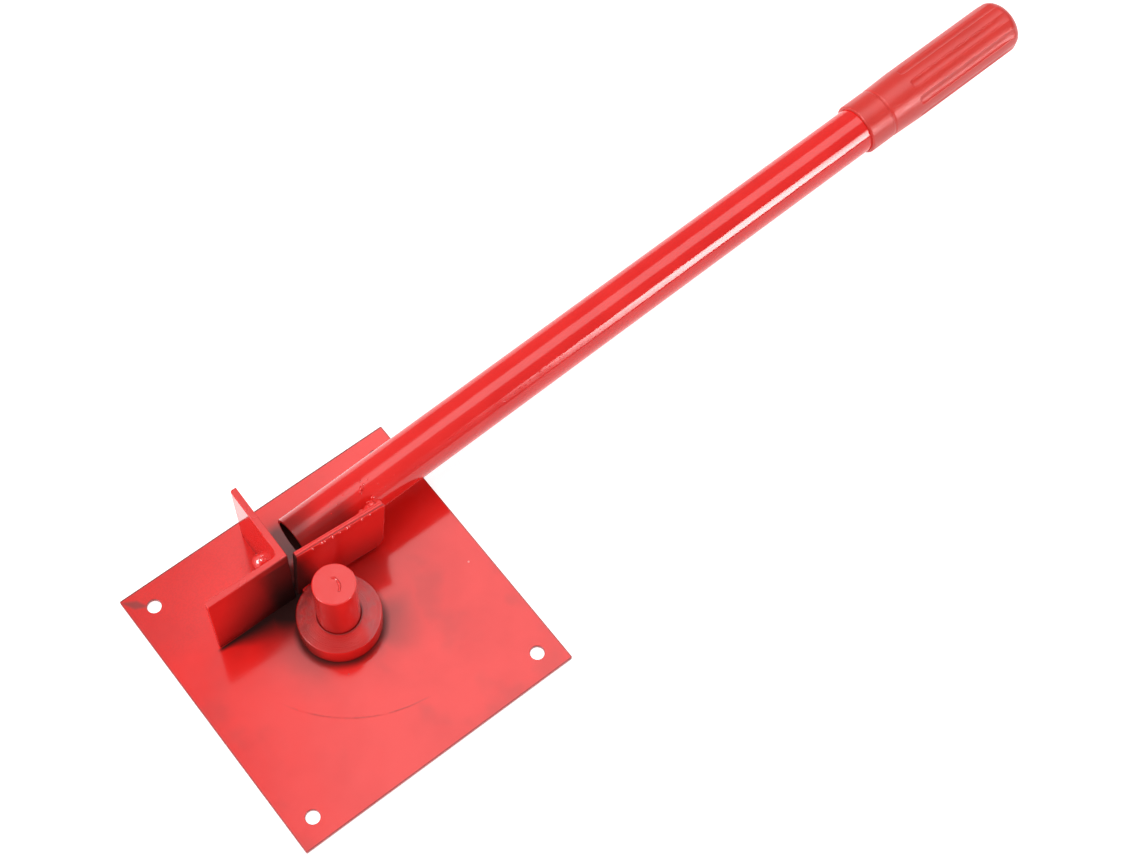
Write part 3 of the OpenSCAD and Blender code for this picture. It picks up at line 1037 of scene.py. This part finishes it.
class BENDER_OT_tube(bpy.types.Operator):
    """Handle tube, open at the stop's side"""

    bl_idname = "bender.tube"
    bl_label = "Handle tube"

    def execute(self, context):
        profile = rounded([
            (TUBE_RADIUS, 0, 0.45), (TUBE_RADIUS, TUBE_LENGTH, 0.4),
            (TUBE_BORE, TUBE_LENGTH, 0.3), (TUBE_BORE, 0, 0.4),
        ], 4)
        stations = []
        for index, (r, x) in enumerate(profile):
            stations.append((r, x))
            after = profile[(index + 1) % len(profile)]
            if abs(after[1] - x) > 100:
                stations += [(r, x + (after[1] - x) * k / 24) for k in range(1, 24)]

        def stain_and_shade(finish, at, x, y, z):
            ax, ay, az = finish.turned(at, ARM_YAW + TUBE_SKEW, (POST_X, POST_Y + TUBE_SIDE, TUBE_HEIGHT))
            cloud = finish.noise(at, 50, 3) - 0.5
            # Painted shade, partly soot: on the tube's side facing the bracket, with a painted dark
            # reflection of the gap, on the first 30 mm of the tube where the stop shades it, and in the bore.
            tube_gap_shade = finish.smooth(ax, 46, 30) * finish.smooth(ay + cloud * 5, 1, -8) * 0.7
            rim = finish.smooth(ax + cloud * 12, 30, 0) * finish.smooth(ay, 14, 6) * 0.62
            inside = finish.smooth(span(ay, az - ax * 0.026), TUBE_BORE + 0.7, TUBE_BORE + 0.3)
            return (tube_gap_shade * 0.5).most(rim * 0.5), (inside * 0.95).most(tube_gap_shade * 0.6).most(rim * 0.8)

        def relief(finish, at, x, y, z):
            drawn = finish.noise(at, 90, 3, 0.6, (0.12, 1, 1))
            return drawn, 0.00006

        material = red_paint("tube_enamel", stain_and_shade, relief)
        pipe = turned_bar("handle_pipe", stations)
        add_piece("handle_pipe", pipe, ON_TUBE @ spin(90, "Y"), material, "arm", ["handle_tube"], crease=50)
        return {"FINISHED"}


class BENDER_OT_grip(bpy.types.Operator):
    """Moulded grip with a collar, a ring groove, flutes and a rounded closed end"""

    bl_idname = "bender.grip"
    bl_label = "Grip"

    def execute(self, context):
        sizes = context.scene.bender_sizes
        length, collar, barrel, end_round = 140.0, 18.1, 18.9, 9.0
        groove_at, flute_at, first = 20.5, 44.0, 15.2
        lip, groove_depth, half_flute, fade = 1.2, 0.55, 9.8, 16
        start = TUBE_LENGTH + 6 - length
        flutes, depth = sizes.flutes, 1000 * sizes.flute_depth

        def radius_at(x):
            if x < lip:
                return collar - lip + math.sqrt(max(0.0, lip ** 2 - (lip - x) ** 2))
            if x < flute_at:
                r = collar + (barrel - collar) * max(0.0, x - groove_at) / (flute_at - groove_at)
                return r - groove_depth * math.exp(-((x - groove_at) ** 4))
            if x > length - end_round:
                u = (x - length + end_round) / end_round
                return barrel - end_round + end_round * math.sqrt(max(0.0, 1 - u * u))
            return barrel

        def flute(x, angle):
            ahead = min(1.0, max(0.0, (x - flute_at) / 1.1))
            ahead = ahead * ahead * (3 - 2 * ahead)
            pitch = 360 / flutes
            off = (math.degrees(angle) - first + pitch / 2) % pitch - pitch / 2
            half = half_flute * (1 - 0.35 * (1 - min(1.0, max(0.0, (x - flute_at) / 4.0))) ** 2)
            inside = max(0.0, 1 - (off / half) ** 2)
            behind = min(1.0, max(0.0, (length - 1.5 - x) / fade))
            return depth * ahead * behind * inside ** 0.75

        around = 360
        stations = [0.0, 0.2, 0.5, 0.8, lip]
        stations += [lip + 1.6 * k for k in range(1, 11)] + [groove_at - 1.9 + 0.25 * k for k in range(16)]
        stations += [groove_at + 2.4 + 1.9 * k for k in range(11)]
        stations += [flute_at - 0.3 + 0.25 * k for k in range(20)]
        stations += [flute_at + 5 + 2.4 * k for k in range(int((length - end_round - flute_at - 5) / 2.4))]
        stations += [length - end_round + end_round * math.sin(math.radians(4.5 * k)) for k in range(20)]
        stations = sorted(set(round(x, 4) for x in stations if x < length - 0.002))
        bore = TUBE_RADIUS + 0.05
        floor_at = start + length - 5.9
        skin = [(0.6, bore), (0.0, bore + 0.1)] + [(x, None) for x in stations]
        points, faces = [], []
        for x, fixed in skin:
            for angle in angles(around):
                r = fixed if fixed is not None else radius_at(x) - flute(x, angle)
                points.append((start + x, -r * math.sin(angle), r * math.cos(angle)))
        for ring in range(len(skin) - 1):
            for i in range(around):
                j = (i + 1) % around
                a, b = ring * around, (ring + 1) * around
                faces.append((a + i, b + i, b + j, a + j))
        tip = len(points)
        points.append((start + length, 0, 0))
        last = (len(skin) - 1) * around
        faces += [(last + i, tip, last + (i + 1) % around) for i in range(around)]
        back = len(points)
        for angle in angles(around):
            points.append((floor_at, -bore * math.sin(angle), bore * math.cos(angle)))
        faces += band(0, back, around)
        floor = len(points)
        points.append((floor_at, 0, 0))
        faces += [(back + i, back + (i + 1) % around, floor) for i in range(around)]
        paint = context.scene.bender_paint
        finish = Finish(bpy.data.materials.new("grip_plastic"))
        at, x, y, z = finish.place()
        tone = finish.smooth(finish.noise(at, 30, 3), 0.3, 0.7)
        colour = finish.mix(tone, rgb(paint.grip_red), rgb(paint.grip_red, 0.9))
        scuffs = finish.smooth(finish.noise(at, 160, 4, 0.7, (1, 4, 4)), 0.58, 0.75)
        colour = finish.mix(scuffs * 0.25, colour, (0.62, 0.12, 0.10, 1))
        shine = 0.3 + scuffs * 0.15 + finish.noise(at, 90, 2) * 0.08
        normal = finish.bump(finish.noise(at, 1100, 2), 0.00003)
        normal = finish.bump(finish.noise(at, 70, 2), 0.0001, normal)
        material = finish.surface(Base_Color=colour, Roughness=shine, Normal=normal, IOR=1.5)
        mesh = mesh_of("grip_shell", points, faces)
        add_piece("grip_shell", mesh, ON_TUBE, material, "arm", ["handle_grip"], 70)
        return {"FINISHED"}


class BENDER_OT_stage(bpy.types.Operator):
    """Pale floor, soft studio light and the camera"""

    bl_idname = "bender.stage"
    bl_label = "Stage"

    def execute(self, context):
        scene, stage = context.scene, context.scene.bender_stage
        points, faces, count, half = [], [], 12, 4000
        for i in range(count + 1):
            for j in range(count + 1):
                points.append((2 * half * i / count - half, 2 * half * j / count - half, -0.25))
        for i in range(count):
            for j in range(count):
                a = i * (count + 1) + j
                faces.append((a, a + count + 1, a + count + 2, a + 1))
        mesh = mesh_of("studio_floor", points, faces)
        mesh.transform(METRES)
        floor = bpy.data.objects.new("studio_floor", mesh)
        scene.collection.objects.link(floor)
        finish = Finish(bpy.data.materials.new("studio_paper"))
        at = finish.node("ShaderNodeTexCoord", out="Object")
        grain = finish.noise(at, 40, 3)
        colour = finish.mix(grain, (0.54, 0.54, 0.54, 1), (0.57, 0.57, 0.57, 1))
        mesh.materials.append(finish.surface(
            Base_Color=colour, Roughness=0.9, Emission_Color=(1, 1, 1, 1), Emission_Strength=0.82,
        ))

        world = bpy.data.worlds.new("studio_light")
        scene.world = world
        sky = Finish(world)
        way = sky.node("ShaderNodeSeparateXYZ", {}, {0: sky.node("ShaderNodeTexCoord", out="Generated")})
        up = way.output("Z").most(0.02)
        right, back = way / up, way.output("Y") / up
        box = sky.smooth(back, 0.60, 0.48) * sky.smooth(back, -0.20, -0.10) * sky.smooth(right, 1.6, 1.2)
        box = box * sky.smooth((right - 0.10) + (0.417 - back) * 0.6, -0.02, 0.15)
        bearing = way.math("ARCTAN2", way, 0 - way.output("Y"))
        height = way.output("Z")
        strip = sky.smooth(bearing, 0.30, 0.44) * sky.smooth(bearing, 0.64, 0.46)
        strip = strip * sky.smooth(height, 0.08, 0.13) * sky.smooth(height, 0.55, 0.50)

        def disc(azimuth, elevation, inner, outer):
            """A round soft source, azimuth degrees from the front to the right, between two angular radii."""
            a, e = math.radians(azimuth), math.radians(elevation)
            centre = (math.sin(a) * math.cos(e), -math.cos(a) * math.cos(e), math.sin(e))
            facing = way * centre[0] + way.output("Y") * centre[1] + way.output("Z") * centre[2]
            return sky.smooth(facing, math.cos(math.radians(outer)), math.cos(math.radians(inner)))

        # The left light has a bright core; backdrop is what only the camera sees behind the floor.
        core, backdrop = 13, 1.1
        left = disc(-102, 40, 20, 34)
        gloss = stage.room + box * (stage.softbox - stage.room) + strip * stage.strip
        gloss = gloss + left * stage.left + disc(-102, 42, 6, 9) * stage.left * core
        fill = stage.room * 0.5 + disc(180, 81, 20, 32) * stage.overhead + left * stage.left
        fill = fill + disc(22, 15, 8, 14) * stage.front
        path = sky.node("ShaderNodeLightPath", out="Is Glossy Ray")
        light = fill + path * (gloss - fill) + path.output("Is Camera Ray") * backdrop
        glow = sky.node("ShaderNodeBackground", {}, {
            "Color": sky.node("ShaderNodeCombineColor", {}, {0: light, 1: light, 2: light}), "Strength": 1.0,
        })
        sky.node("ShaderNodeOutputWorld", {}, {"Surface": glow})

        camera = bpy.data.cameras.new("camera")
        camera.sensor_fit = "HORIZONTAL"
        camera.sensor_width = 36
        camera.lens = stage.lens
        camera.clip_end = 50
        eye = bpy.data.objects.new("camera", camera)
        az, el = stage.azimuth, stage.elevation
        away = Vector((math.sin(az) * math.cos(el), -math.cos(az) * math.cos(el), math.sin(el)))
        spot = Vector(stage.target) + away * stage.distance
        turn = away.to_track_quat("Z", "Y").to_matrix().to_4x4()
        eye.matrix_world = Matrix.Translation(spot) @ turn @ Matrix.Rotation(stage.roll, 4, "Z")
        scene.collection.objects.link(eye)
        scene.camera = eye
        scene.view_settings.view_transform = "Standard"
        return {"FINISHED"}


PIECES = (
    BENDER_OT_plate, BENDER_OT_post, BENDER_OT_foot_weld, BENDER_OT_stop, BENDER_OT_stop_welds, BENDER_OT_hub,
    BENDER_OT_hub_welds, BENDER_OT_bracket, BENDER_OT_tube_welds, BENDER_OT_tube, BENDER_OT_grip,
    BENDER_OT_stage,
)


class BENDER_PT_panel(bpy.types.Panel):
    """Lists the pieces of the bender and their sizes and colours"""

    bl_idname = "BENDER_PT_panel"
    bl_label = "Rod Bender"
    bl_space_type = "VIEW_3D"
    bl_region_type = "UI"
    bl_category = "Rod Bender"

    def draw(self, context):
        scene = context.scene
        for group in (scene.bender_sizes, scene.bender_paint, scene.bender_stage):
            box = self.layout.box()
            for name in group.__annotations__:
                box.prop(group, name)
        for piece in PIECES:
            self.layout.operator(piece.bl_idname)


GROUPS = (("bender_sizes", BenderSizes), ("bender_paint", BenderPaint), ("bender_stage", BenderStage))


def register():
    for name, group in GROUPS:
        bpy.utils.register_class(group)
        setattr(bpy.types.Scene, name, PointerProperty(type=group))
    for piece in PIECES:
        bpy.utils.register_class(piece)
    bpy.utils.register_class(BENDER_PT_panel)


def unregister():
    bpy.utils.unregister_class(BENDER_PT_panel)
    for piece in reversed(PIECES):
        bpy.utils.unregister_class(piece)
    for name, group in reversed(GROUPS):
        delattr(bpy.types.Scene, name)
        bpy.utils.unregister_class(group)


def main():
    register()
    for piece in PIECES:
        module, name = piece.bl_idname.split(".")
        if getattr(getattr(bpy.ops, module), name)() != {"FINISHED"}:
            raise RuntimeError(piece.bl_label + " could not be built")
    bpy.context.view_layer.update()


if __name__ == "__main__":
    main()
